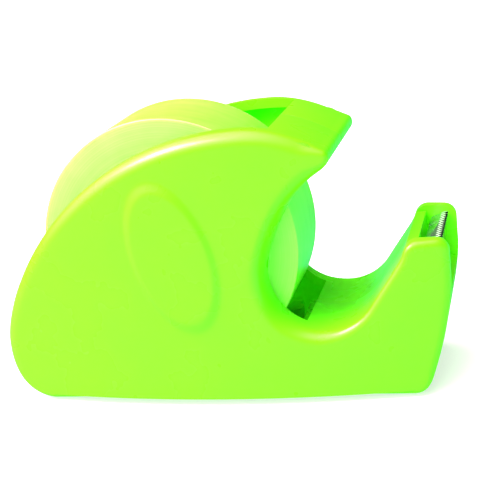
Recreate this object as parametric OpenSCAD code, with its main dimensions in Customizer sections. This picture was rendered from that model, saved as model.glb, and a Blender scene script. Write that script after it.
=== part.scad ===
// Desk dispenser for a small roll of clear adhesive tape.
// Two mirrored half shells hold the roll on a lift-out axle and carry the cutter on a short arm.
// X runs from the heel to the cutter, Y across, Z up. The origin is on the ground, at the middle.

/* [Body] */
// Half width of the body at the widest place of its bowed sides
side_half = 16.9; // [16.4:0.1:17.4]
// Radius of the bow of the sides, seen from above
bow_radius = 206; // [190:1:240]
// Wall thickness of the shells
wall = 1.8; // [1.4:0.1:2.0]
// Height of the raised oval grip on each side
grip_rise = 0.6; // [0.3:0.1:1.0]
// Half width of the opening that the roll is lifted through
opening_half = 12.5; // [12:0.1:13]
// Half width of the slot that the roll reaches through into the mouth
slot_half = 10.6; // [10.4:0.1:10.8]

/* [Tape] */
// Outer diameter of the full tape roll
roll_dia = 49.2; // [40:0.2:49.6]
// Width of the tape
tape_width = 19; // [18:0.1:19]
// Bore of the core that the tape is wound on
core_bore = 25.4; // [25:0.1:25.6]
// Wall thickness of the core
core_wall = 1.5; // [1:0.1:2]

/* [Spool and axle] */
// Diameter of the axle
axle_dia = 6; // [5.6:0.1:6.2]
// Width across the flats at the axle's ends
axle_flat = 4.4; // [4:0.1:4.6]
// Length of the axle
axle_len = 27.2; // [26.6:0.1:27.4]
// Lean of the guides that the axle is lifted out along, back from the vertical
guide_lean = 14; // [12:0.5:16]

/* [Cutter] */
// Number of teeth on the blade
tooth_count = 16; // [12:1:20]
// Thickness of the blade
blade_thick = 0.4; // [0.3:0.05:0.5]
// Length of the blade between the ears
blade_len = 19.6; // [19:0.1:19.8]

/* [Base] */
// Thickness of the non-slip pad
pad_thick = 0.8; // [0.5:0.1:1.0]
// Thickness of the base plate
plate_thick = 2.0; // [1.8:0.1:2.2]

/* [Hidden] */
$fn = 96;
shell_green = "#8fe02a";
base_green = "#79c41f";
reach = 60;
slack = 0.1;
facets = 48;

// Side outline of the body, in X and Z
crown = [8.5, 51.7];
nose = [22.7, 47.5];
heel_r = 9;
heel_x = -43.2;
heel = [heel_x + heel_r, pad_thick + heel_r];
mouth = [20.6, 24];
mouth_r = 10.3;
ramp_angle = -33;
throat_angle = 165;
toe = [35.8, pad_thick];
ear_top = 29.5;
ear_x = [35.1, 43.2];
ear_r = [2.8, 2.2];
side_mid = -2.5;

// The roll
roll = [-8.5, 29];
core_r = core_bore / 2 + core_wall;
axle_r = axle_dia / 2;
hub_r = core_bore / 2 - slack;
hub_wall = 1.4;
flange_thick = 1.6;
boss_wall = 2;
spoke = 1.4;
vent_ring = 8;
vent_r = 2;
bore_fit = 0.05;
flange_r = 14;
flange_y = tape_width / 2 + 1.2;
guide_y = flange_y + 0.5;
guide_wall = 1.7;
guide_gap = 0.3;

// Cutter arm
ledge_x = 37.5;
ledge_z = 28.3;
pocket_z = 20.5;
pocket_half = 10;
chin = [43.4, 18.9];
peg_r = 1.2;
peg_place = [39.6, 22.2];
blade_back = [38.6, 26.8];
blade_edge = [41.8, 28];
tooth_depth = 0.7;
blade_foot = 22.6;

// Fasteners: where the case screws cross the body, and where the base screws stand
case_spots = [[-35.5, 17.5], [35.2, 10], [19, 45.9]];
case_boss_r = 3;
case_shank_r = 1.0;
case_head_r = 1.9;
case_head = 1.3;
case_recess_r = 0.7;
case_recess = 0.8;
case_head_y = 9.5;
case_tip_y = -5;
base_spots = [[-27.5, 11], [9.5, 11]];
base_boss_r = 2;
base_boss_top = 9;
base_shank_r = 0.9;
base_head_r = 1.7;
base_head = 0.9;
base_recess_r = 0.6;
base_recess = 0.6;
base_screw_top = 7.5;
plate_x = [-32, 34.4];
deck = pad_thick + plate_thick;

// Ballast: a block on the base plate, and a bar in the heel
block_low = [13.5, -9.5, deck];
block_size = [18, 19, 8.2];
bar_place = [-36.2, 8.7];
bar_r = 4.5;
bar_len = 22;
rib = 1;

// Points on an arc and on a cubic curve
function on_circle(c, r, a) = c + r * [cos(a), sin(a)];
function arc(c, r, a0, a1, n) = [for (i = [0:n]) on_circle(c, r, a0 + (a1 - a0) * i / n)];
function curve(a, b, c, d, n) = [for (i = [0:n]) let (t = i / n, u = 1 - t)
  u * u * u * a + 3 * u * u * t * b + 3 * u * t * t * c + t * t * t * d];
// An outline without its first point, to follow a curve that ends there
function rest_of(p) = [for (i = [1:len(p) - 1]) p[i]];
// The outline moved inwards by d, along the normal at each point
function inset(p, d) = [for (i = [0:len(p) - 1])
  let (t = p[(i + 1) % len(p)] - p[(i + len(p) - 1) % len(p)]) p[i] + d * [-t[1], t[0]] / norm(t)];
function ellipse_points(rx, rz, n) = [for (i = [0:n - 1]) [rx * cos(360 * i / n), rz * sin(360 * i / n)]];

ramp_foot = on_circle(mouth, mouth_r, ramp_angle);
throat = on_circle(mouth, mouth_r, throat_angle);
ear_foot = on_circle([ear_x[0] + ear_r[0], ear_top - ear_r[0]], ear_r[0], 165);
body_outline = concat(
  arc(heel, heel_r, 180, 270, 8),
  curve(toe, toe + [1.8, 0], [38.6, 2], [39.3, 4.2], 5),
  rest_of(curve([39.3, 4.2], [41, 9], [43, 16], [ear_x[1], 22], 6)),
  arc([ear_x[1] - ear_r[1], ear_top - ear_r[1]], ear_r[1], 0, 90, 4),
  arc([ear_x[0] + ear_r[0], ear_top - ear_r[0]], ear_r[0], 90, 165, 3),
  rest_of(curve(ear_foot, ear_foot - [0.4, 1.5], [32.5, 23.2], ramp_foot, 5)),
  rest_of(arc(mouth, mouth_r, ramp_angle, throat_angle - 360, 16)),
  rest_of(curve(throat, [11.5, 30], [15, 37.8], [19.6, 41.5], 6)),
  rest_of(curve([19.6, 41.5], [21.4, 43.1], [24.3, 44.2], [24.1, 46], 7)),
  rest_of(curve([24.1, 46], [24, 46.9], [23.6, 47.1], nose, 3)),
  rest_of(curve(nose, [19.8, 49.2], [14.5, 51.7], crown, 6)),
  rest_of(curve(crown, [-24.9, 51.7], [heel_x, 21.4], [heel_x, 11], 20)));

// Hollow of the shells: the same curves one wall thickness in, open below for the base plate
inner_crown = crown - [0, wall];
inner_x = heel_x + wall;
hollow_outline = concat(
  [[plate_x[0], -1], [plate_x[1], -1], [plate_x[1], deck + 0.4]],
  curve([37, 5], [38.8, 9], [40.4, 13], [40.6, 17], 4),
  arc(mouth, mouth_r + wall, ramp_angle, throat_angle - 360, 16),
  rest_of(curve(on_circle(mouth, mouth_r + wall, throat_angle), [10.1, 31.4], [14.2, 40], [19.6, 43.8], 6)),
  [[21.4, 45.4], [21.2, 46.4]],
  curve([20.6, 47], [19, 48.4], [16, 49.9], inner_crown, 5),
  rest_of(curve(inner_crown, [-24.3, 51.7 - wall], [inner_x, 21], [inner_x, 11], 18)),
  arc(heel, heel_r - wall, 180, 270, 6),
  [[plate_x[0], heel[1] - heel_r + wall]]);

// Opening over the roll, and the slot from the roll into the mouth
lift_outline = [[-reach, 24], [0, 24], [0, 46], [13.5, 46], [13.5, reach], [-reach, reach]];
slot_outline = [[4, 11], [16.7, 11], [16.7, 24], [19.2, 30], [19.2, 41.2], [4, 41.2]];
pocket_outline = [[ledge_x, ledge_z], [ledge_x, pocket_z], [39.2, pocket_z], [chin[0], chin[1]],
  [reach, chin[1]], [reach, reach], [ear_x[0] - 3, reach], [ear_x[0] - 3, ledge_z]];

// An outline in X and Z, as a slab from y0 to y1
module slab(points, y0, y1) {
  translate([0, y1, 0]) rotate([90, 0, 0]) linear_extrude(y1 - y0) polygon(points);
}

// Everything on the near side of the bowed side surface, moved inwards by d
module bow(d) {
  translate([side_mid, bow_radius - side_half + d, -reach])
    cylinder(h = 3 * reach, r = bow_radius, $fn = 720);
}

// A cylinder along Y from y0 to y1 at the place p in X and Z
module rod(p, r, y0, y1) {
  translate([p[0], y1, p[1]]) rotate([90, 0, 0]) cylinder(h = y1 - y0, r = r);
}

// Turns its children with the guides, about the roll's centre
module leaned() {
  translate([roll[0], 0, roll[1]]) rotate([0, -guide_lean, 0]) children();
}

// The space that the axle's end is lifted through
module axle_way() {
  half = axle_flat / 2 + guide_gap;
  leaned() translate([-half, -axle_len / 2 - guide_gap, -axle_r - guide_gap])
    cube([2 * half, reach, reach]);
}

// Forked guide that the axle's end stands in
module axle_guide() {
  half = axle_flat / 2 + guide_gap + guide_wall;
  intersection() {
    leaned() translate([-half, -side_half, -axle_r - guide_gap - guide_wall])
      cube([2 * half, side_half - guide_y, reach]);
    slab(hollow_outline, -side_half, 0);
    bow(wall / 2);
  }
}

// Bosses for the screws of one half
module bosses() {
  for (p = case_spots)
    intersection() {
      rod(p, case_boss_r, -side_half, 0);
      bow(wall / 2);
    }
  for (p = base_spots)
    intersection() {
      translate([p[0], -p[1], deck]) union() {
        cylinder(h = base_boss_top - deck, r = base_boss_r);
        translate([-1, -reach / 4, 0]) cube([2, reach / 4, base_boss_top - deck]);
      }
      bow(wall / 2);
    }
}

// Two ribs in the heel, hollowed to hold the ballast bar
module bar_cradle() {
  rib_x = plate_x[0] - slack;
  rib_top = bar_place[1] - rib;
  difference() {
    intersection() {
      for (y = [-9, -4])
        slab([[heel_x, 0], [rib_x, 0], [rib_x, rib_top], [heel_x, rib_top]], y, y + rib);
      slab(inset(body_outline, wall / 2), -side_half, 0);
    }
    rod(bar_place, bar_r + slack, -side_half, 1);
  }
}

// Raised oval on the side
module grip() {
  intersection() {
    translate([-5.7, 0, 29.2]) rotate([0, -guide_lean, 0])
      slab(ellipse_points(8.1, 15.2, facets), -side_half - 2, -side_half + 3);
    bow(-grip_rise);
  }
}

// One half of the body, on the -Y side of the joint between the halves
module half_shell() {
  difference() {
    union() {
      difference() {
        union() {
          intersection() {
            slab(body_outline, -side_half, 0);
            bow(0.7);
          }
          intersection() {
            slab(inset(body_outline, 0.7), -side_half, 0);
            bow(0);
          }
          grip();
        }
        intersection() {
          slab(hollow_outline, -side_half, 1);
          bow(wall);
        }
        slab(lift_outline, -opening_half, 1);
        slab(slot_outline, -slot_half, 1);
        slab(pocket_outline, -pocket_half, 1);
      }
      axle_guide();
      bosses();
      bar_cradle();
    }
    axle_way();
    rod(peg_place, peg_r + slack, -pocket_half - 1.2, 1);
    for (p = base_spots)
      translate([p[0], -p[1], 0]) cylinder(h = base_screw_top + 0.5, r = base_shank_r);
  }
}

module right_shell() {
  color(shell_green) difference() {
    half_shell();
    for (p = case_spots) rod(p, case_shank_r, case_tip_y - 1, 1);
  }
}

module left_shell() {
  color(shell_green) difference() {
    mirror([0, 1, 0]) half_shell();
    for (p = case_spots) {
      rod(p, case_shank_r + slack, -1, side_half);
      rod(p, case_head_r + slack, case_head_y, side_half + 2);
    }
  }
}

// Flat cover that closes the underside
module base_plate() {
  color(base_green) difference() {
    union() {
      intersection() {
        translate([plate_x[0] + slack, -side_half, pad_thick])
          cube([plate_x[1] - plate_x[0] - 2 * slack, 2 * side_half, plate_thick]);
        bow(wall + slack);
        mirror([0, 1, 0]) bow(wall + slack);
      }
      ballast_wall();
    }
    for (p = base_spots, s = [-1, 1]) translate([p[0], s * p[1], pad_thick - 1]) {
      cylinder(h = plate_thick + 2, r = base_shank_r + slack);
      cylinder(h = base_head + 1.1, r = base_head_r + slack);
    }
  }
}

// Low wall on the base plate that keeps the steel block in place
module ballast_wall() {
  gap = block_low - [slack, slack, 0];
  fence = 2.4;
  span = block_size + [2 * slack, 2 * slack, 0];
  difference() {
    translate(gap - [rib, rib, slack]) cube([span[0] + 2 * rib, span[1] + 2 * rib, fence]);
    translate(gap) cube(span);
  }
}

// Steel block under the saddle
module front_ballast() {
  color("#7d8288") translate(block_low) cube(block_size);
}

// Steel bar across the heel
module rear_ballast() {
  color("#7d8288") rod(bar_place, bar_r, -bar_len / 2, bar_len / 2);
}

// Non-slip pad stuck under the base plate, between its screws
module foot_pad() {
  pad_half = [32.5, 9];
  corner = 4;
  color("#3a3f3a") union() {
    translate([-pad_half[0] + corner, -pad_half[1], 0])
      cube([2 * (pad_half[0] - corner), 2 * pad_half[1], pad_thick]);
    translate([-pad_half[0], -pad_half[1] + corner, 0])
      cube([2 * pad_half[0], 2 * (pad_half[1] - corner), pad_thick]);
    for (sx = [-1, 1], sy = [-1, 1])
      translate([sx * (pad_half[0] - corner), sy * (pad_half[1] - corner), 0])
        cylinder(h = pad_thick, r = corner);
  }
}

// Moulded block in the arm's pocket that backs the blade and is pegged into both ears
module blade_holder() {
  half = pocket_half - slack;
  front = ledge_x + slack;
  rear = blade_back[0] + blade_thick + slack;
  seat = blade_foot - 0.2;
  color(base_green) union() {
    slab([[front, pocket_z], [39.2, pocket_z], [40.4, pocket_z - 0.3], [40.7, 22.4], [41, 27.5],
      [rear, 26.8], [rear, seat], [front, seat]], -half, half);
    for (s = [-1, 1])
      mirror([0, s > 0 ? 1 : 0, 0]) rod(peg_place, peg_r, -half - 1, -half + slack / 2);
  }
}

// Bent steel strip: a foot behind the holder, and a flange that rises to the toothed edge
module cutter_blade() {
  slope = blade_edge - blade_back;
  root = norm(slope) - tooth_depth;
  end = blade_len / 2;
  pitch = blade_len / tooth_count;
  valleys = [for (i = [0:tooth_count - 1]) [root, -end + i * pitch]];
  tip = [tooth_depth, pitch / 2];
  comb = [for (v = valleys) each [v, v + tip]];
  color("#c9ced2") union() {
    translate([blade_back[0], 0, blade_back[1]]) rotate([0, -atan2(slope[1], slope[0]), 0])
      linear_extrude(blade_thick) polygon(concat([[0, end], [0, -end]], comb, [[root, end]]));
    translate([blade_back[0], -end, blade_foot])
      cube([blade_thick, blade_len, blade_back[1] + blade_thick / 2 - blade_foot]);
  }
}

// Fixed axle with two flats at each end, which stand in the guides
module axle_pin() {
  end = axle_len / 2;
  color("#d8dcd8") difference() {
    rod(roll, axle_r, -end, end);
    leaned() for (s = [0, 1], e = [0, 1])
      mirror([s, 0, 0]) mirror([0, e, 0]) translate([axle_flat / 2, flange_y + 0.2, -axle_r - 1])
        cube([axle_r, axle_len, 2 * axle_r + 2]);
  }
}

// One half of the spool: flange, drum that grips the core, spokes and a bored boss
module hub_half() {
  difference() {
    union() {
      rod(roll, flange_r, -flange_y, -tape_width / 2 - 0.02);
      rod(roll, hub_r, -tape_width / 2 - 0.1, 0);
    }
    difference() {
      rod(roll, hub_r - hub_wall, -flange_y + flange_thick, 1);
      rod(roll, axle_r + boss_wall, -flange_y, 2);
      for (a = [0:120:240])
        translate([roll[0], 0, roll[1]]) rotate([0, a, 0]) translate([0, -flange_y, -spoke / 2])
          cube([hub_r, flange_y + 2, spoke]);
    }
    rod(roll, axle_r + bore_fit, -flange_y - 1, 2);
    for (a = [60:120:300])
      rod(on_circle(roll, vent_ring, a), vent_r, -flange_y - 1, -5);
  }
}

// Three tongues that enter the other half's drum and line the two halves up
module hub_tongues() {
  drum = hub_r - hub_wall;
  difference() {
    intersection() {
      union() {
        rod(roll, drum + 0.4, -6, -slack);
        rod(roll, drum - slack, -6, 3);
      }
      for (a = [30:120:270])
        translate([roll[0], 0, roll[1]]) rotate([0, a, 0]) translate([0, -reach, -2])
          cube([reach, 2 * reach, 4]);
    }
    rod(roll, drum - 1.2, -reach, reach);
  }
}

module right_hub() {
  color("#f1f3ef") union() {
    hub_half();
    hub_tongues();
  }
}

module left_hub() {
  color("#f1f3ef") mirror([0, 1, 0]) hub_half();
}

module tape_core() {
  color("#e9e4cf") difference() {
    rod(roll, core_r, -tape_width / 2, tape_width / 2);
    rod(roll, core_bore / 2, -tape_width, tape_width);
  }
}

module tape_roll() {
  color("#eaf7c8") difference() {
    rod(roll, roll_dia / 2, -tape_width / 2, tape_width / 2);
    rod(roll, core_r, -tape_width, tape_width);
  }
}

module case_screws() {
  color("#b9bec4") for (p = case_spots) {
    rod(p, case_shank_r, case_tip_y, case_head_y + 0.1);
    difference() {
      rod(p, case_head_r, case_head_y, case_head_y + case_head);
      rod(p, case_recess_r, case_head_y + case_head - case_recess, case_head_y + 3);
    }
  }
}

module base_screws() {
  color("#b9bec4") for (p = base_spots, s = [-1, 1])
    translate([p[0], s * p[1], pad_thick]) {
      difference() {
        translate([0, 0, 0.1]) cylinder(h = base_head, r = base_head_r);
        cylinder(h = base_recess, r = base_recess_r);
      }
      translate([0, 0, base_head]) cylinder(h = base_screw_top - pad_thick - base_head, r = base_shank_r);
    }
}

right_shell();
left_shell();
base_plate();
foot_pad();
front_ballast();
rear_ballast();
blade_holder();
cutter_blade();
axle_pin();
right_hub();
left_hub();
tape_core();
tape_roll();
case_screws();
base_screws();
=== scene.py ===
# Tape dispenser: two lime green half shells, a lift-out roll of clear tape and a toothed cutter
import bpy
import math
from mathutils import Matrix, Vector, noise


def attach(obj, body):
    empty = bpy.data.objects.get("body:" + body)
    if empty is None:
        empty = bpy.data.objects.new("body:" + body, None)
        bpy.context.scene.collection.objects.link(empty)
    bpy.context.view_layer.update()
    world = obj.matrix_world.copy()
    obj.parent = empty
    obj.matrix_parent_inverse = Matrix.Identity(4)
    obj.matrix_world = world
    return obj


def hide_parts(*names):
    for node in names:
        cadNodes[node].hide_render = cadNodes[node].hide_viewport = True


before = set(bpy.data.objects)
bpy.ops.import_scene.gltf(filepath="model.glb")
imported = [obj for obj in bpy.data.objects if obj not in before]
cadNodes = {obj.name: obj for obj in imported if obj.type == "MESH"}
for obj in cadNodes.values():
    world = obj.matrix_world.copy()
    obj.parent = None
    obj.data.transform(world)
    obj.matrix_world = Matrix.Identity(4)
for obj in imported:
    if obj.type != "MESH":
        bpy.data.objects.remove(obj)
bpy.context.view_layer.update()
mm = 0.001


# Helpers for selecting, cutting and finishing pieces

def deselectAll():
    if bpy.context.object and bpy.context.object.mode != "OBJECT":
        bpy.ops.object.mode_set(mode="OBJECT")
    bpy.ops.object.select_all(action="DESELECT")


def makeActive(piece):
    deselectAll()
    piece.select_set(True)
    bpy.context.view_layer.objects.active = piece


def editAll(piece):
    makeActive(piece)
    bpy.ops.object.mode_set(mode="EDIT")
    bpy.ops.mesh.select_mode(type="VERT")
    bpy.ops.mesh.select_all(action="SELECT")


def editFaces(piece, test):
    # edit mode with only the faces that pass the test selected, and face select on
    makeActive(piece)
    mesh = piece.data
    mesh.vertices.foreach_set("select", [False] * len(mesh.vertices))
    mesh.edges.foreach_set("select", [False] * len(mesh.edges))
    mesh.polygons.foreach_set("select", [bool(test(f)) for f in mesh.polygons])
    bpy.ops.object.mode_set(mode="EDIT")
    bpy.ops.mesh.select_mode(type="FACE")


def applyModifiers(piece):
    makeActive(piece)
    for m in list(piece.modifiers):
        bpy.ops.object.modifier_apply(modifier=m.name)


def smoothByAngle(piece, degrees=30):
    makeActive(piece)
    bpy.ops.object.shade_smooth_by_angle(angle=math.radians(degrees))


def copyOf(piece, name):
    twin = piece.copy()
    twin.data = piece.data.copy()
    twin.name = name
    bpy.context.collection.objects.link(twin)
    return twin


def carve(piece, cutter, how="DIFFERENCE"):
    m = piece.modifiers.new("carve", "BOOLEAN")
    m.operation = how
    m.object = cutter
    m.solver = "EXACT"
    applyModifiers(piece)
    bpy.data.objects.remove(cutter)


def smoothStep(low, high, x):
    t = min(1, max(0, (x - low) / (high - low)))
    return t * t * (3 - 2 * t)


# Outlines in X and Z, in millimetres

def arcPoints(centre, r, a0, a1, n):
    angles = [math.radians(a0 + (a1 - a0) * i / n) for i in range(n + 1)]
    return [(centre[0] + r * math.cos(a), centre[1] + r * math.sin(a)) for a in angles]


def curvePoints(a, b, c, d, n):
    points = []
    for i in range(n + 1):
        t, u = i / n, 1 - i / n
        points.append([u ** 3 * a[k] + 3 * u * u * t * b[k]
                       + 3 * u * t * t * c[k] + t ** 3 * d[k] for k in (0, 1)])
    return points


def joined(*stretches):
    # one closed outline, without the points that two stretches share
    points = []
    for p in sum((list(s) for s in stretches), []):
        if not points or math.dist(points[-1], p) > 0.02:
            points.append(p)
    return points if math.dist(points[0], points[-1]) > 0.02 else points[:-1]


def slabFrom(name, points, y0, y1):
    # a circle primitive pulled onto the outline, then extruded along Y
    deselectAll()
    bpy.ops.mesh.primitive_circle_add(vertices=len(points), radius=mm, fill_type="NGON")
    piece = bpy.context.object
    piece.name = name
    for v, (x, z) in zip(piece.data.vertices, points):
        v.co = (x * mm, y0 * mm, z * mm)
    editAll(piece)
    bpy.ops.mesh.extrude_region_move(TRANSFORM_OT_translate={"value": (0, (y1 - y0) * mm, 0)})
    bpy.ops.mesh.select_all(action="SELECT")
    bpy.ops.mesh.normals_make_consistent(inside=False)
    bpy.ops.object.mode_set(mode="OBJECT")
    return piece


def rodFrom(name, place, r, y0, y1, sides=48):
    # a cylinder along Y at the place in X and Z
    deselectAll()
    bpy.ops.mesh.primitive_cylinder_add(vertices=sides, radius=r * mm, depth=(y1 - y0) * mm,
                                        location=(place[0] * mm, (y0 + y1) / 2 * mm, place[1] * mm),
                                        rotation=(math.pi / 2, 0, 0))
    piece = bpy.context.object
    piece.name = name
    bpy.ops.object.transform_apply(location=True, rotation=True, scale=True)
    return piece


def postFrom(name, x, y, r, z0, z1, sides=48):
    # an upright cylinder
    deselectAll()
    bpy.ops.mesh.primitive_cylinder_add(vertices=sides, radius=r * mm, depth=(z1 - z0) * mm,
                                        location=(x * mm, y * mm, (z0 + z1) / 2 * mm))
    piece = bpy.context.object
    piece.name = name
    bpy.ops.object.transform_apply(location=True, rotation=True, scale=True)
    return piece


def crossCut(piece, test, step, axes=(0, 2)):
    # slice the chosen faces along X and Z, so that they can be bent and raised; no slice falls on an end
    editFaces(piece, test)
    bpy.ops.mesh.hide(unselected=True)
    chosen = [piece.data.vertices[i].co for f in piece.data.polygons if test(f) for i in f.vertices]
    for k in axes:
        low, high = min(c[k] for c in chosen), max(c[k] for c in chosen)
        count = int((high - low) / step)
        for i in range(1, count + 1):
            at = low + (high - low) * (i - 0.37) / count
            place, normal = [0, 0, 0], [0, 0, 0]
            place[k], normal[k] = at, 1
            bpy.ops.mesh.select_all(action="SELECT")
            bpy.ops.mesh.bisect(plane_co=place, plane_no=normal)
    bpy.ops.mesh.reveal(select=False)
    bpy.ops.object.mode_set(mode="OBJECT")


# The body's outlines

axleAt = (-8.5, 29.0)
heelAt, heelR = (-34.2, 9.8), 9
mouthAt, mouthR = (20.6, 24), 10.3
rampFoot = arcPoints(mouthAt, mouthR, -33, -33, 1)[0]
throatTop = arcPoints(mouthAt, mouthR, 165, 165, 1)[0]
bodyOutline = joined(
    arcPoints(heelAt, heelR, 180, 270, 14),
    curvePoints((35.8, 0.8), (37.6, 0.8), (38.6, 2), (39.3, 4.2), 8),
    curvePoints((39.3, 4.2), (41, 9), (43, 16), (43.2, 22), 16),
    arcPoints((41, 27.3), 2.2, 0, 90, 8),
    arcPoints((37.9, 26.7), 2.8, 90, 165, 8),
    curvePoints((35.2, 27.42), (34.8, 25.92), (32.5, 23.2), rampFoot, 12),
    arcPoints(mouthAt, mouthR, -33, -195, 36),
    curvePoints(throatTop, (11.5, 30), (15, 37.8), (19.6, 41.5), 16),
    curvePoints((19.6, 41.5), (21.4, 43.1), (24.3, 44.2), (24.1, 46), 14),
    curvePoints((24.1, 46), (24, 46.9), (23.6, 47.1), (22.7, 47.5), 6),
    curvePoints((22.7, 47.5), (19.8, 49.2), (14.5, 51.7), (8.5, 51.7), 18),
    curvePoints((8.5, 51.7), (-24.9, 51.7), (-43.2, 21.4), (-43.2, 11), 56))
hollowOutline = joined(
    [(-32, -1), (34.4, -1), (34.4, 3.2)],
    curvePoints((37, 5), (38.8, 9), (40.4, 13), (40.6, 17), 8),
    arcPoints(mouthAt, mouthR + 1.8, -33, -195, 30),
    curvePoints(arcPoints(mouthAt, mouthR + 1.8, 165, 165, 1)[0], (10.1, 31.4), (14.2, 40), (19.6, 43.8), 10),
    [(21.4, 45.4), (21.2, 46.4)],
    curvePoints((20.6, 47), (19, 48.4), (16, 49.9), (8.5, 49.9), 8),
    curvePoints((8.5, 49.9), (-24.3, 49.9), (-41.4, 21), (-41.4, 11), 36),
    arcPoints(heelAt, heelR - 1.8, 180, 270, 10),
    [(-32, 2.6)])
liftOutline = [(-60, 24), (0, 24), (0, 46), (13.5, 46), (13.5, 60), (-60, 60)]
slotOutline = [(4, 11), (16.7, 11), (16.7, 24), (19.2, 30), (19.2, 41.2), (4, 41.2)]
pocketOutline = [(37.5, 28.3), (37.5, 20.5), (39.2, 20.5), (43.4, 18.9), (60, 18.9), (60, 60),
                 (32.1, 60), (32.1, 28.3)]


# The two halves of the body
print("half shells")
shell = {
    "sideHalf": 16.9,        # half the width at the fullest place of the sides, mm
    "bowRadius": 206.0,      # how much the sides bow, seen from above
    "bowMiddle": -2.5,
    "bowStep": 3,            # distance between the cuts that let a side bend
    "wall": 1.8,
    "rimRound": 2.5,         # rounding of the rim along the crown and heel
    "rimStart": 0.8,         # the even rounding that it is widened from
    "seamRound": 0.12,       # groove where the halves meet
    "gridStep": 1.0,
    "ovalAt": (-5.7, 29.2), "ovalHalf": (8.1, 15.2), "ovalLean": 14, "ovalRise": 0.6, "ovalEdge": 1.5,
}
# where the rim is sharper: its share of rimRound there, and the stretch over which it grows to all of it
rimEase = {
    "lowBelow": 30,
    "floorShare": 0.3, "floorZ": (1, 9),
    "saddleShare": 0.52, "saddleX": (30, 16),
    "noseAbove": 38, "noseShare": 0.36, "noseAt": (24, 46), "noseAway": (0.5, 5.5),
}
# the rim along the back of the mouth is up to twice as deep; each pair is where that fades in
throat = {"depth": 3, "right": (21, 15), "left": (9, 12), "bottom": (12, 17), "top": (44, 36)}


def bowAt(x):
    return shell["sideHalf"] - (x - shell["bowMiddle"]) ** 2 / (2 * shell["bowRadius"])


def nearestOn(points, x, z):
    # the closest point of a closed outline
    best, found = 1e9, None
    for (ax, az), (bx, bz) in zip(points, points[1:] + points[:1]):
        dx, dz = bx - ax, bz - az
        t = min(1, max(0, ((x - ax) * dx + (z - az) * dz) / (dx * dx + dz * dz)))
        d = (x - ax - t * dx) ** 2 + (z - az - t * dz) ** 2
        if d < best:
            best, found = d, (ax + t * dx, az + t * dz)
    return found


def rimShare(x, z):
    # rounding of the rim at this place of the outline, as a share of rimRound
    def grown(share, stretch, at):
        return share + (1 - share) * smoothStep(*stretch, at)

    v = rimEase
    shares = [1.0]
    if z < v["lowBelow"]:
        shares.append(grown(v["floorShare"], v["floorZ"], z))
        shares.append(grown(v["saddleShare"], v["saddleX"], x))
    if x > 0 and z > v["noseAbove"]:
        shares.append(grown(v["noseShare"], v["noseAway"], math.dist((x, z), v["noseAt"])))
    return min(shares)


def throatShare(x, z):
    return (smoothStep(*throat["right"], x) * smoothStep(*throat["left"], x)
            * smoothStep(*throat["bottom"], z) * smoothStep(*throat["top"], z))


def ovalHeight(x, z):
    lean = math.radians(shell["ovalLean"])
    dx, dz = x - shell["ovalAt"][0], z - shell["ovalAt"][1]
    across = dx * math.cos(lean) + dz * math.sin(lean)
    along = dz * math.cos(lean) - dx * math.sin(lean)
    wide, tall = shell["ovalHalf"]
    inside = (1 - math.hypot(across / wide, along / tall)) * wide
    return shell["ovalRise"] * smoothStep(0, shell["ovalEdge"], inside)


def onSide(face):
    return face.normal.y < -0.999 and face.center.y < -0.99 * shell["sideHalf"] * mm


def nearOval(face):
    # whether the oval reaches a face of the side, or the places around it
    x, z, away = face.center.x / mm, face.center.z / mm, shell["ovalEdge"]
    around = [(0, 0), (-away, -away), (-away, away), (away, -away), (away, away)]
    return onSide(face) and any(ovalHeight(x + dx, z + dz) > 0 for dx, dz in around)


def bowedSlab(name, points, depth):
    # a slab whose outer side follows the bow of the body, this depth below its surface
    piece = slabFrom(name, points, -shell["sideHalf"], 1)
    crossCut(piece, lambda f: f.center.y < -0.9 * shell["sideHalf"] * mm, shell["bowStep"] * mm, axes=(0,))
    for v in piece.data.vertices:
        if v.co.y < 0:
            v.co.y = -(bowAt(v.co.x / mm) - depth) * mm
    return piece


def halfBlank():
    half = slabFrom("half", bodyOutline, -shell["sideHalf"], 0)
    weights = half.data.attributes.new("bevel_weight_edge", "FLOAT", "EDGE")
    for e in half.data.edges:
        a, b = (half.data.vertices[i].co for i in e.vertices)
        if abs(a.y - b.y) < 1e-6:
            weights.data[e.index].value = 1 if a.y < -mm else shell["seamRound"] / shell["rimStart"]
    m = half.modifiers.new("rim", "BEVEL")
    m.limit_method = "WEIGHT"
    m.width = shell["rimStart"] * mm
    m.segments = 8
    m.use_clamp_overlap = False
    applyModifiers(half)
    # the even rim is then scaled to its own size at each place, away from the nearest point of the outline
    for v in half.data.vertices:
        if v.co.y > -mm:
            continue
        x, z = v.co.x / mm, v.co.z / mm
        px, pz = nearestOn(bodyOutline, x, z)
        inset = math.dist((x, z), (px, pz))
        grow = shell["rimRound"] * rimShare(px, pz) / shell["rimStart"]
        depth = shell["sideHalf"] * mm + v.co.y
        if depth < 1.01 * shell["rimStart"] * mm:
            v.co.y = -shell["sideHalf"] * mm + depth * grow
        if inset > 1e-4:
            v.co.x, v.co.z = (px + (x - px) * grow) * mm, (pz + (z - pz) * grow) * mm
    crossCut(half, onSide, shell["gridStep"] * mm)
    editFaces(half, nearOval)
    bpy.ops.mesh.subdivide(number_cuts=2)
    bpy.ops.object.mode_set(mode="OBJECT")
    for v in half.data.vertices:
        x, y, z = v.co / mm
        depth = shell["sideHalf"] + y
        if depth < throat["depth"]:
            depth *= 1 + throatShare(x, z)
        bowed = -(shell["sideHalf"] - depth) * bowAt(x) / shell["sideHalf"]
        if depth < 0.001:
            bowed -= ovalHeight(x, z)
        v.co.y = bowed * mm
    return half


# the fork that holds the axle's flats, seen from the axle, and the holes for the peg of the blade's block
guide = {"lean": -14, "gapHalf": 2.5, "wall": 1.7, "floor": -3.3, "top": 40, "face": -11.2}
peg = {"at": (39.6, 22.2), "r": 1.3, "end": -11.2}


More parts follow.
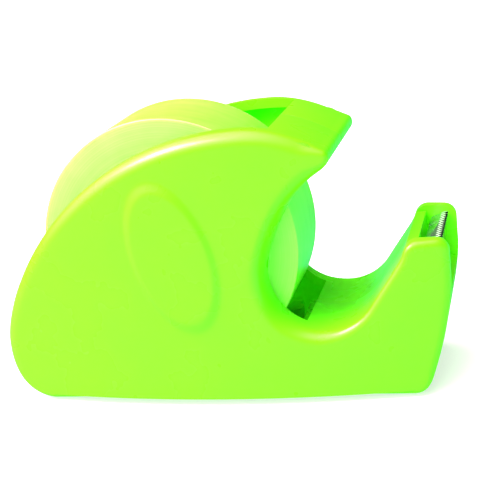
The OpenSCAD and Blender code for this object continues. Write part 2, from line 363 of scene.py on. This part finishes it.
def axleGuide():
    gap, floor, top = guide["gapHalf"], guide["floor"], guide["top"]
    side, foot = gap + guide["wall"], floor - guide["wall"]
    fork = [(-side, foot), (side, foot), (side, top), (gap, top),
            (gap, floor), (-gap, floor), (-gap, top), (-side, top)]
    piece = slabFrom("fork", fork, -shell["sideHalf"], guide["face"])
    lean = Matrix.Rotation(math.radians(guide["lean"]), 4, "Y")
    piece.data.transform(Matrix.Translation((axleAt[0] * mm, 0, axleAt[1] * mm)) @ lean)
    carve(piece, bowedSlab("room", hollowOutline, shell["wall"] / 2), "INTERSECT")
    return piece


half = halfBlank()
carve(half, bowedSlab("hollow", hollowOutline, shell["wall"]))
# the roll's way out, the slot into the mouth and the pocket for the blade's block, each with half its width
openings = {"lift": (liftOutline, 12.5), "slot": (slotOutline, 10.6), "pocket": (pocketOutline, 10)}
for name, (outline, across) in openings.items():
    carve(half, slabFrom(name, outline, -across, 1))
carve(half, axleGuide(), "UNION")
# screws across the case: place in X and Z, and the radius and end of each step of their holes
caseBoss = {
    "spots": [(-35.5, 17.5), (35.2, 10), (19, 45.9)], "r": 3,
    "pilot": (1, 6), "shank": (1.1, 17), "head": (2, 9.5, 19),
}
# screws up through the cover: place in X and Y, with a web from each boss to the wall
baseBoss = {
    "spots": [(-27.5, 11), (9.5, 11)], "r": 2, "bottom": 2.8, "top": 9, "webHalf": 1,
    "pilot": (0.9, 8),
}
for spot in caseBoss["spots"]:
    carve(half, rodFrom("boss", spot, caseBoss["r"], -bowAt(spot[0]) + shell["wall"] / 2, 0), "UNION")
for x, y in baseBoss["spots"]:
    low, high, aside = baseBoss["bottom"], baseBoss["top"], baseBoss["webHalf"]
    carve(half, postFrom("baseBoss", x, -y, baseBoss["r"], low, high), "UNION")
    web = [(x - aside, low), (x + aside, low), (x + aside, high), (x - aside, high)]
    carve(half, slabFrom("web", web, shell["wall"] / 2 - bowAt(x), -y), "UNION")
    pilotR, pilotTop = baseBoss["pilot"]
    carve(half, postFrom("pilot", x, -y, pilotR, 0, pilotTop, 24))
carve(half, rodFrom("pegHole", peg["at"], peg["r"], peg["end"], 1, 32))
# two ribs in the heel, hollowed for the ballast bar
cradle = {
    "at": (-9, -4), "rib": 1, "front": -32.1, "bottom": 1.7, "top": 7.7,
    "bar": (-36.2, 8.7), "barWay": 4.6,
}
ribOutline = joined(
    arcPoints(heelAt, heelR - shell["wall"] / 2, 195, 270, 10),
    [(cradle["front"], cradle["bottom"]), (cradle["front"], cradle["top"])],
)
for y in cradle["at"]:
    rib = slabFrom("rib", ribOutline, y, y + cradle["rib"])
    carve(rib, rodFrom("barWay", cradle["bar"], cradle["barWay"], y - 1, y + 2, 32))
    carve(half, rib, "UNION")
rightShell = half
leftShell = copyOf(half, "shellLeft")
leftShell.data.transform(Matrix.Diagonal((1, -1, 1, 1)))
editAll(leftShell)
bpy.ops.mesh.flip_normals()
bpy.ops.object.mode_set(mode="OBJECT")
pilotR, pilotDeep = caseBoss["pilot"]
shankR, shankEnd = caseBoss["shank"]
headR, headFrom, headEnd = caseBoss["head"]
for spot in caseBoss["spots"]:
    carve(rightShell, rodFrom("pilot", spot, pilotR, -pilotDeep, 1, 32))
    carve(leftShell, rodFrom("shank", spot, shankR, -1, shankEnd, 32))
    carve(leftShell, rodFrom("counterbore", spot, headR, headFrom, headEnd))
rightShell.name = "shellRight"
for piece, node in ((rightShell, "right_shell"), (leftShell, "left_shell")):
    smoothByAngle(piece, 28)
    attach(piece, "case")
    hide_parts(node)
print("half shells", len(rightShell.data.polygons), "faces")


# Hard CAD parts that only need their edges broken
print("hard parts")


def eased(node, name, body, edge, segments=3, angle=35):
    # a copy of a CAD part with its moulded or stamped edges rounded by edge, in mm
    piece = cadNodes[node].copy()
    piece.data = cadNodes[node].data.copy()
    piece.name = name
    piece.parent = None
    for key in list(piece.keys()):
        del piece[key]
    bpy.context.collection.objects.link(piece)
    piece.data.materials.clear()
    editAll(piece)
    bpy.ops.mesh.remove_doubles(threshold=0.004 * mm)
    bpy.ops.mesh.dissolve_limited(angle_limit=math.radians(0.6))
    bpy.ops.object.mode_set(mode="OBJECT")
    m = piece.modifiers.new("ease", "BEVEL")
    m.limit_method = "ANGLE"
    m.angle_limit = math.radians(angle)
    m.width = edge * mm
    m.segments = segments
    applyModifiers(piece)
    smoothByAngle(piece, 38)
    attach(piece, body)
    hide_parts(node)
    return piece


basePlate = eased("base_plate", "basePlate", "case", 0.25)
footPad = eased("foot_pad", "footPad", "case", 0.2)
frontBallast = eased("front_ballast", "frontBallast", "case", 0.5)
rearBallast = eased("rear_ballast", "rearBallast", "case", 0.4)
bladeHolder = eased("blade_holder", "bladeHolder", "case", 0.18)
cutterBlade = eased("cutter_blade", "cutterBlade", "case", 0.04, 2)
caseScrews = eased("case_screws", "caseScrews", "case", 0.15, 2)
baseScrews = eased("base_screws", "baseScrews", "case", 0.12, 2)
axlePin = eased("axle_pin", "axlePin", "axle", 0.25)
rightHub = eased("right_hub", "hubRight", "roll", 0.2)
leftHub = eased("left_hub", "hubLeft", "roll", 0.2)
tapeCore = eased("tape_core", "tapeCore", "roll", 0.12)


# The wound tape
print("tape roll")
tape = {
    "centre": axleAt, "outer": 24.6, "inner": 14.2, "half": 9.5,
    "sides": 192, "rings": 26,
    "edge": ((0, 0.12), (0.1, 0.03)),    # steps of the rounded edge, in from the radius and from the side
    "firstRing": 0.25,       # distance of the first ring from the edge
    "layerWobble": 0.035,    # how far bundles of layers stand out from the side
    "wobbleTurns": 1.7, "wobbleAt": (3.1, 0.4),
    "endStep": 0.06,         # step where the outermost layer ends
    "endDepth": 0.5,         # how deep that layer's step is felt
    "endTurn": 0.62,         # where it ends, as a share of a turn
    "faceEdge": 0.2,         # the sides start this far in from the width
}


def windRoll():
    deselectAll()
    bpy.ops.mesh.primitive_circle_add(vertices=tape["sides"], radius=tape["outer"] * mm, fill_type="NOTHING",
                                      location=(tape["centre"][0] * mm, 0, tape["centre"][1] * mm),
                                      rotation=(math.pi / 2, 0, 0))
    piece = bpy.context.object
    piece.name = "tapeRoll"
    bpy.ops.object.transform_apply(location=True, rotation=True, scale=True)
    centre = Vector((tape["centre"][0] * mm, 0, tape["centre"][1] * mm))
    radii, ys = [tape["outer"]], [0]
    for inward, short in tape["edge"]:
        radii.append(tape["outer"] - inward)
        ys.append(-(tape["half"] - short))
    start = tape["outer"] - tape["firstRing"]
    for i in range(tape["rings"] + 1):
        r = start - (start - tape["inner"]) * i / tape["rings"]
        wobble = 0.5 + 0.5 * noise.noise((r * tape["wobbleTurns"], *tape["wobbleAt"]))
        radii.append(r)
        ys.append(-(tape["half"] - tape["layerWobble"] * wobble))
    radii.append(tape["inner"])
    ys.append(0)
    editAll(piece)
    for (r0, y0), (r1, y1) in zip(zip(radii, ys), zip(radii[1:], ys[1:])):
        bpy.ops.mesh.extrude_region_move(TRANSFORM_OT_translate={"value": (0, (y1 - y0) * mm, 0)})
        if r1 != r0:
            bpy.ops.transform.resize(value=(r1 / r0, 1, r1 / r0), center_override=centre)
    bpy.ops.object.mode_set(mode="OBJECT")
    m = piece.modifiers.new("other side", "MIRROR")
    m.use_axis = (False, True, False)
    m.merge_threshold = 0.002 * mm
    applyModifiers(piece)
    for v in piece.data.vertices:
        arm = v.co - centre
        r = math.hypot(arm.x, arm.z)
        if r > (tape["outer"] - tape["endDepth"]) * mm:
            turn = (math.atan2(arm.z, arm.x) / math.tau + tape["endTurn"]) % 1
            k = 1 - tape["endStep"] * mm * turn / r
            v.co.x, v.co.z = centre.x + arm.x * k, centre.z + arm.z * k
    editAll(piece)
    bpy.ops.mesh.normals_make_consistent(inside=False)
    bpy.ops.object.mode_set(mode="OBJECT")
    return piece


tapeRoll = windRoll()
smoothByAngle(tapeRoll, 40)
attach(tapeRoll, "roll")
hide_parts("tape_roll")


# Materials
print("materials")


def linear(code):
    # sRGB hex to the linear values that shaders use
    parts = [int(code[i:i + 2], 16) / 255 for i in (1, 3, 5)]
    return [c / 12.92 if c <= 0.04045 else ((c + 0.055) / 1.055) ** 2.4 for c in parts] + [1]


def addNode(tree, kind, settings, links=None):
    # names that start with a capital, and numbers, are sockets; the rest are the node's own settings
    node = tree.nodes.new(kind)
    for key, value in settings.items():
        if isinstance(key, int) or key[0].isupper():
            node.inputs[key].default_value = value
        else:
            setattr(node, key, value)
    for key, source in (links or {}).items():
        tree.links.new(source, node.inputs[key])
    return node


def newMaterial(name):
    material = bpy.data.materials.new(name)
    material.use_nodes = True
    tree = material.node_tree
    tree.nodes.clear()
    out = tree.nodes.new("ShaderNodeOutputMaterial")
    place = tree.nodes.new("ShaderNodeTexCoord").outputs["Object"]
    return material, tree, out, place


def finish(piece, *materials):
    piece.data.materials.clear()
    for m in materials:
        piece.data.materials.append(m)


# Injection-moulded ABS in lime green: high gloss, a slight orange peel, and walls that let some light through
absGreen = {
    "base": "#7af412", "deep": "#72ee0e", "roughness": 0.28, "through": 0.4,
    "peelSize": 1.6, "mottleSize": 9.0,
}


def mouldedAbs(name, values):
    material, tree, out, place = newMaterial(name)
    mottle = addNode(tree, "ShaderNodeTexNoise", {"Scale": 1000 / values["mottleSize"], "Detail": 3.0},
                     {"Vector": place})
    tones = {"data_type": "RGBA", 6: linear(values["base"]), 7: linear(values["deep"])}
    colour = addNode(tree, "ShaderNodeMix", tones, {0: mottle.outputs["Fac"]})
    peel = addNode(tree, "ShaderNodeTexNoise", {"Scale": 1000 / values["peelSize"], "Detail": 2.0},
                   {"Vector": place})
    bump = addNode(tree, "ShaderNodeBump", {"Strength": 0.05, "Distance": 0.02 * mm},
                   {"Height": peel.outputs["Fac"]})
    rough = addNode(tree, "ShaderNodeMapRange", {"From Min": 0.3, "From Max": 0.7,
                                                 "To Min": values["roughness"] - 0.03,
                                                 "To Max": values["roughness"] + 0.05},
                    {"Value": mottle.outputs["Fac"]})
    body = addNode(tree, "ShaderNodeBsdfPrincipled", {"IOR": 1.5},
                   {"Base Color": colour.outputs[2], "Roughness": rough.outputs[0], "Normal": bump.outputs[0]})
    # a thin wall of it is not quite opaque, so the inside of the case is lit green through the sides
    through = addNode(tree, "ShaderNodeBsdfTranslucent", {}, {"Color": colour.outputs[2]})
    both = addNode(tree, "ShaderNodeMixShader", {0: values["through"]},
                   {1: body.outputs[0], 2: through.outputs[0]})
    tree.links.new(both.outputs[0], out.inputs["Surface"])
    return material


gloss = mouldedAbs("mouldedAbsLime", absGreen)
satin = mouldedAbs("satinAbsLime", {"base": "#68e014", "deep": "#60d40e", "roughness": 0.42, "through": 0.25,
                                    "peelSize": 0.5, "mottleSize": 6.0})
finish(rightShell, gloss)
finish(leftShell, gloss)
finish(basePlate, satin)
finish(bladeHolder, satin)


# Wound clear BOPP tape: the layers' edges show as fine rings on the sides, and the face is clear film, glossy.
# Side and face colours are lime green, painted light: the green that the clear film takes from the case around
# it
woundTape = {
    "side": "#92f450", "sideDeep": "#7cee38", "face": "#82f040", "faceDeep": "#6ee628",
    "ringWidth": 0.35,       # a layer is 0.05 mm, so bundles of layers are drawn
    "sideRough": 0.55, "sideGloss": 0.9, "sideBump": 0.35,
    "faceRough": 0.3, "faceGloss": 0.12, "faceBump": 0.1,
    "glow": 0.7, "glowDepth": 3.0,
}


def tapeMaterial(name, onSide):
    material, tree, out, place = newMaterial(name)
    v = woundTape
    part = "side" if onSide else "face"
    toCentre = (-tape["centre"][0] * mm, 0, -tape["centre"][1] * mm)
    centred = addNode(tree, "ShaderNodeMapping", {"Location": toCentre}, {"Vector": place})
    flat = addNode(tree, "ShaderNodeVectorMath", {"operation": "MULTIPLY", 1: (1, 0, 1)},
                   {0: centred.outputs[0]})
    radius = addNode(tree, "ShaderNodeVectorMath", {"operation": "LENGTH"}, {0: flat.outputs[0]})
    rings = addNode(tree, "ShaderNodeTexNoise",
                    {"noise_dimensions": "1D", "Scale": 1000 / v["ringWidth"], "Detail": 4.0, "Roughness": 0.7},
                    {"W": radius.outputs["Value"]})
    cloud = addNode(tree, "ShaderNodeTexNoise", {"Scale": 120.0, "Detail": 3.0}, {"Vector": place})
    across = addNode(tree, "ShaderNodeVectorMath", {"operation": "MULTIPLY", 1: (1, 6, 1)}, {0: place})
    streak = addNode(tree, "ShaderNodeTexNoise", {"Scale": 90.0, "Detail": 5.0, "Roughness": 0.65},
                     {"Vector": across.outputs[0]})
    detail = (rings if onSide else streak).outputs["Fac"]
    pattern = addNode(tree, "ShaderNodeMix", {"data_type": "FLOAT", 0: 0.4},
                      {2: detail, 3: cloud.outputs["Fac"]})
    spread = addNode(tree, "ShaderNodeMapRange", {"From Min": 0.35, "From Max": 0.65},
                     {"Value": pattern.outputs[0]})
    # the lime tones are painted green light from the case, coloured into the clear tape
    tones = {"data_type": "RGBA", 6: linear(v[part]), 7: linear(v[part + "Deep"])}
    colour = addNode(tree, "ShaderNodeMix", tones, {0: spread.outputs[0]})
    bump = addNode(tree, "ShaderNodeBump", {"Strength": v[part + "Bump"], "Distance": 0.04 * mm},
                   {"Height": detail})
    body = addNode(tree, "ShaderNodeBsdfPrincipled",
                   {"Roughness": v[part + "Rough"], "IOR": 1.49, "Specular IOR Level": v[part + "Gloss"],
                    "Subsurface Weight": v["glow"], "Subsurface Scale": v["glowDepth"] * mm,
                    "Subsurface Radius": (1.0, 1.0, 0.8)},
                   {"Base Color": colour.outputs[2], "Normal": bump.outputs[0]})
    tree.links.new(body.outputs[0], out.inputs["Surface"])
    return material


finish(tapeRoll, tapeMaterial("woundTapeSide", True), tapeMaterial("clearTapeFace", False))
for face in tapeRoll.data.polygons:
    face.material_index = 0 if abs(face.center.y) > (tape["half"] - tape["faceEdge"]) * mm else 1


# One recipe for the small parts: a tone with grain in it, scuffs in the gloss and a fine bump
def partFinish(name, v):
    material, tree, out, place = newMaterial(name)
    along = addNode(tree, "ShaderNodeVectorMath",
                    {"operation": "MULTIPLY", 1: v.get("stretch", (1, 1, 1))}, {0: place})
    grain = addNode(tree, "ShaderNodeTexNoise", {"Scale": 1000 / v["grain"], "Detail": 5.0, "Roughness": 0.6},
                    {"Vector": along.outputs[0]})
    patch = addNode(tree, "ShaderNodeTexNoise", {"Scale": 1000 / v["patch"], "Detail": 3.0}, {"Vector": place})
    both = addNode(tree, "ShaderNodeMix", {"data_type": "FLOAT", 0: 0.5},
                   {2: grain.outputs["Fac"], 3: patch.outputs["Fac"]})
    spread = addNode(tree, "ShaderNodeMapRange", {"From Min": 0.38, "From Max": 0.62},
                     {"Value": both.outputs[0]})
    tones = {"data_type": "RGBA", 6: linear(v["light"]), 7: linear(v["dark"])}
    colour = addNode(tree, "ShaderNodeMix", tones, {0: spread.outputs[0]})
    rough = addNode(tree, "ShaderNodeMapRange", {"From Min": 0.3, "From Max": 0.7, "To Min": v["rough"][0],
                                                 "To Max": v["rough"][1]}, {"Value": patch.outputs["Fac"]})
    bump = addNode(tree, "ShaderNodeBump", {"Strength": v["bump"], "Distance": 0.03 * mm},
                   {"Height": grain.outputs["Fac"]})
    body = addNode(tree, "ShaderNodeBsdfPrincipled",
                   {"Metallic": v.get("metal", 0.0), "IOR": v.get("ior", 1.5),
                    "Subsurface Weight": v.get("glow", 0.0), "Subsurface Scale": 1.5 * mm,
                    "Subsurface Radius": (1.0, 1.0, 1.0)},
                   {"Base Color": colour.outputs[2], "Roughness": rough.outputs[0], "Normal": bump.outputs[0]})
    tree.links.new(body.outputs[0], out.inputs["Surface"])
    return material


# Die-cut EVA foam rubber, dull and slightly pitted
evaFoam = partFinish("evaFoamPad", {"light": "#565b54", "dark": "#3e423d", "grain": 0.4, "patch": 5,
                                    "bump": 0.6, "rough": (0.75, 0.9)})
# Cold-drawn steel sawn to length: grey with fine draw lines along its length
drawnSteel = partFinish("drawnSteel", {"light": "#9a9da0", "dark": "#787b7e", "grain": 0.25, "patch": 6,
                                       "bump": 0.3, "rough": (0.3, 0.5), "metal": 1.0,
                                       "stretch": (1, 0.08, 1)})
# Cold-rolled stainless strip, stamped: bright, with rolling lines along the strip
stainlessStrip = partFinish("stainlessStrip", {"light": "#d4dadc", "dark": "#aab4b8", "grain": 0.12, "patch": 3,
                                               "bump": 0.2, "rough": (0.16, 0.3), "metal": 1.0,
                                               "stretch": (1, 0.05, 1)})


# The same strip as cut for the blade: the toothed band along the edge is painted dark, a painted shade and dark
# reflection, and one flank of each tooth is painted bright and less metallic, a painted highlight
serration = {
    "teeth": 16, "length": 19.6, "edge": 41.8, "depth": 1.5, "fade": 0.2,
    "flank": (0.44, 0.56), "darkTone": "#283024", "brightTone": "#b9c8b4",
}


def serratedStrip():
    v = serration
    material = stainlessStrip.copy()
    material.name = "serratedStainless"
    tree = material.node_tree
    body = next(n for n in tree.nodes if n.type == "BSDF_PRINCIPLED")
    place = next(n for n in tree.nodes if n.type == "TEX_COORD").outputs["Object"]
    parts = addNode(tree, "ShaderNodeSeparateXYZ", {}, {0: place})
    tooth = addNode(tree, "ShaderNodeMath",
                    {"operation": "MULTIPLY_ADD", 1: 1000 * v["teeth"] / v["length"], 2: v["teeth"] / 2},
                    {0: parts.outputs["Y"]})
    share = addNode(tree, "ShaderNodeMath", {"operation": "FRACT"}, {0: tooth.outputs[0]})
    flank = addNode(tree, "ShaderNodeMapRange", {"From Min": v["flank"][0], "From Max": v["flank"][1]},
                    {"Value": share.outputs[0]})
    near = addNode(tree, "ShaderNodeMapRange", {"From Min": (v["edge"] - v["depth"]) * mm,
                                                "From Max": (v["edge"] - v["depth"] + v["fade"]) * mm},
                   {"Value": parts.outputs["X"]})
    # mask of the painted highlight: one flank of each tooth, inside the toothed band
    bright = addNode(tree, "ShaderNodeMath", {"operation": "MULTIPLY"},
                     {0: flank.outputs[0], 1: near.outputs[0]})
    strip = body.inputs["Base Color"].links[0].from_socket
    # the toothed band darkened with darkTone as painted shade and dark reflection
    toothShade = addNode(tree, "ShaderNodeMix", {"data_type": "RGBA", 7: linear(v["darkTone"])},
                     {0: near.outputs[0], 6: strip})
    colour = addNode(tree, "ShaderNodeMix", {"data_type": "RGBA", 7: linear(v["brightTone"])},
                     {0: bright.outputs[0], 6: toothShade.outputs[2]})
    # less metallic where the painted highlight is, so it stays bright
    metal = addNode(tree, "ShaderNodeMapRange", {"To Min": 1.0, "To Max": 0.2}, {"Value": bright.outputs[0]})
    tree.links.new(colour.outputs[2], body.inputs["Base Color"])
    tree.links.new(metal.outputs[0], body.inputs["Metallic"])
    return material


# Zinc-plated steel: bright with a faint cloudy bloom
zincPlate = partFinish("zincPlatedSteel", {"light": "#c4c9ce", "dark": "#a2a8ae", "grain": 0.3, "patch": 1.2,
                                           "bump": 0.15, "rough": (0.22, 0.38), "metal": 1.0})
# Moulded acetal: milky white, slippery, soft gloss
acetal = partFinish("mouldedAcetal", {"light": "#eef2ec", "dark": "#e0e6de", "grain": 0.8, "patch": 4,
                                      "bump": 0.1, "rough": (0.28, 0.4), "ior": 1.48, "glow": 0.3})
# Moulded polystyrene: hard clean gloss, white with a touch of the green light around it
polystyrene = partFinish("mouldedPolystyrene", {"light": "#f4f7f1", "dark": "#e8eee4", "grain": 1.0, "patch": 6,
                                                "bump": 0.08, "rough": (0.16, 0.28), "ior": 1.59, "glow": 0.2})
# Extruded styrene core tube: cream, dull, with faint lines along the tube
coreTube = partFinish("extrudedStyrene", {"light": "#efe9d4", "dark": "#e2dabd", "grain": 0.3, "patch": 5,
                                          "bump": 0.2, "rough": (0.42, 0.55), "stretch": (1, 0.1, 1)})
finish(footPad, evaFoam)
# The block behind the slot is coloured green like the case around it: painted light, standing in for the green
# light that comes through the case walls onto it
finish(frontBallast, partFinish("blockGreenCaseLight", {"light": "#6ee61c", "dark": "#58d212", "grain": 0.6, "patch": 5,
                                                "bump": 0.3, "rough": (0.2, 0.35)}))
finish(rearBallast, drawnSteel)
finish(cutterBlade, serratedStrip())
finish(caseScrews, zincPlate)
finish(baseScrews, zincPlate)
finish(axlePin, acetal)
finish(rightHub, polystyrene)
finish(leftHub, polystyrene)
finish(tapeCore, coreTube)


# Floor, light and camera
print("camera and light")
view = {
    "camera": (59.7, -204.4, 92.0), "azimuth": 15.56, "elevation": 17.01, "roll": -6.84, "lens": 86.68,
}


def placeCamera():
    a, e, r = (math.radians(view[k]) for k in ("azimuth", "elevation", "roll"))
    back = Vector((math.sin(a) * math.cos(e), -math.cos(a) * math.cos(e), math.sin(e)))
    right = Vector((0, 0, 1)).cross(back).normalized()
    up = back.cross(right)
    turned = right * math.cos(r) + up * math.sin(r)
    upright = up * math.cos(r) - right * math.sin(r)
    data = bpy.data.cameras.new("camera")
    data.lens = view["lens"]
    data.sensor_width = 36
    data.clip_start = 0.01
    camera = bpy.data.objects.new("camera", data)
    bpy.context.collection.objects.link(camera)
    spot = Vector(view["camera"]) * mm
    camera.matrix_world = Matrix.Translation(spot) @ Matrix((turned, upright, back)).transposed().to_4x4()
    bpy.context.scene.camera = camera


placeCamera()
deselectAll()
bpy.ops.mesh.primitive_plane_add(size=6, location=(0, 0, -0.0001))
floor = bpy.context.object
floor.name = "floor"


opal = {"light": "#b8bcb8", "dark": "#b0b4b0", "glow": 0.62, "mirrored": "#3a8c74"}


def lightTable():
    # opal sheet lit from underneath: shadows on it stay pale; in the gloss it mirrors as a darker teal, a
    # painted reflection that gives a cool cast to the faces turned to it
    material, tree, out, place = newMaterial("opalSheet")
    grain = addNode(tree, "ShaderNodeTexNoise", {"Scale": 800.0, "Detail": 3.0}, {"Vector": place})
    tones = {"data_type": "RGBA", 6: linear(opal["light"]), 7: linear(opal["dark"])}
    colour = addNode(tree, "ShaderNodeMix", tones, {0: grain.outputs["Fac"]})
    sheet = addNode(tree, "ShaderNodeBsdfDiffuse", {"Roughness": 0.5}, {"Color": colour.outputs[2]})
    lit = addNode(tree, "ShaderNodeEmission", {"Strength": opal["glow"], "Color": linear("#ffffff")})
    white = addNode(tree, "ShaderNodeAddShader", {}, {0: sheet.outputs[0], 1: lit.outputs[0]})
    mirrored = addNode(tree, "ShaderNodeBsdfDiffuse", {"Color": linear(opal["mirrored"])})
    ray = tree.nodes.new("ShaderNodeLightPath")
    both = addNode(tree, "ShaderNodeMixShader", {},
                   {0: ray.outputs["Is Glossy Ray"], 1: white.outputs[0], 2: mirrored.outputs[0]})
    tree.links.new(both.outputs[0], out.inputs["Surface"])
    return material


finish(floor, lightTable())
bpy.context.scene.view_settings.view_transform = "Standard"


keyLamp = {"place": (-0.25, -0.17, 0.36), "aim": (0, 0, 0.02), "size": (0.2, 0.15), "power": 5.5}


def softLight(name, v):
    data = bpy.data.lights.new(name, "AREA")
    data.shape = "RECTANGLE"
    data.size, data.size_y = v["size"]
    data.energy = v["power"]
    lamp = bpy.data.objects.new(name, data)
    lamp.location = v["place"]
    lamp.rotation_euler = (Vector(v["place"]) - Vector(v["aim"])).to_track_quat("Z", "Y").to_euler()
    bpy.context.collection.objects.link(lamp)


softLight("key", keyLamp)

light = {
    "from": (-0.5, -0.27, 0.82), "darkAt": 0.5, "brightAt": 1.0,
    "dark": 0.34, "darkTone": "#b0f898", "bright": 8.8, "brightTone": "#fffdf6",
}


def roomLight():
    # the whole room: bright above and to the left of the camera, dim and green everywhere else
    world = bpy.data.worlds.new("studio")
    world.use_nodes = True
    tree = world.node_tree
    tree.nodes.clear()
    out = tree.nodes.new("ShaderNodeOutputWorld")
    way = tree.nodes.new("ShaderNodeTexCoord").outputs["Generated"]
    facing = addNode(tree, "ShaderNodeVectorMath", {"operation": "DOT_PRODUCT", 1: light["from"]}, {0: way})
    share = addNode(tree, "ShaderNodeMapRange",
                    {"interpolation_type": "SMOOTHSTEP", "From Min": light["darkAt"],
                     "From Max": light["brightAt"]},
                    {"Value": facing.outputs["Value"]})
    dark, bright = ([c * light[k] for c in linear(light[k + "Tone"])] for k in ("dark", "bright"))
    colour = addNode(tree, "ShaderNodeMix", {"data_type": "RGBA", 6: dark, 7: bright}, {0: share.outputs[0]})
    glow = addNode(tree, "ShaderNodeBackground", {"Strength": 1.0}, {"Color": colour.outputs[2]})
    tree.links.new(glow.outputs[0], out.inputs["Surface"])
    bpy.context.scene.world = world


roomLight()

print("done")
